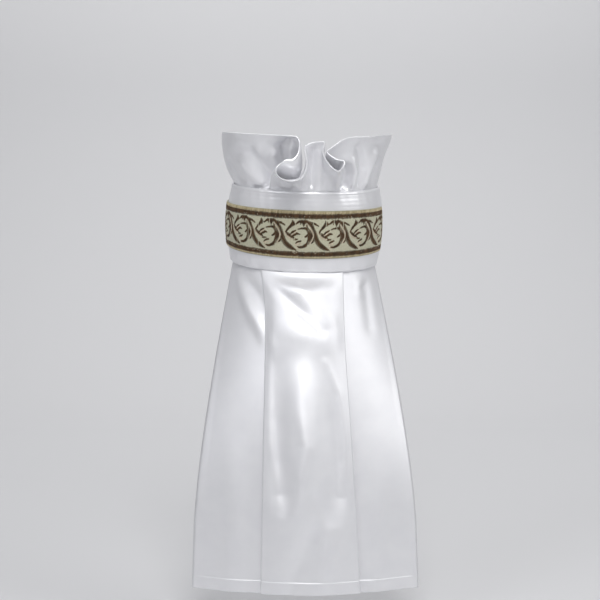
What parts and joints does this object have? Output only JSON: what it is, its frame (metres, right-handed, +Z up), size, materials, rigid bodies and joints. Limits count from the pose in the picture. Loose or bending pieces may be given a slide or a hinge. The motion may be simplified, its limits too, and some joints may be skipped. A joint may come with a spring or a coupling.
{
  "type": "stock tie",
  "caption": "Ready-tied satin neckband with a woven scroll ribbon, a gathered stand-up frill and a box-pleated hanging bib.",
  "frame": {"origin": "middle of the neck opening at half the height of the band, where the tie sits on the neck", "axes": "+Z up, -Y out of the wearer's front, +X to the wearer's left; the band leans 9 degrees forward and 1.5 degrees down at +X, as worn"},
  "size_m": [0.1614, 0.1609, 0.3282],
  "materials": {
    "satin": "satin",
    "brocade": "matte",
    "nylon": "matte"
  },
  "bodies": {
    "root": {"neck_band": "satin", "woven_ribbon": "brocade", "frill": "satin", "bib": "satin", "fastening_pad": "nylon"}
  },
  "joints": []
}
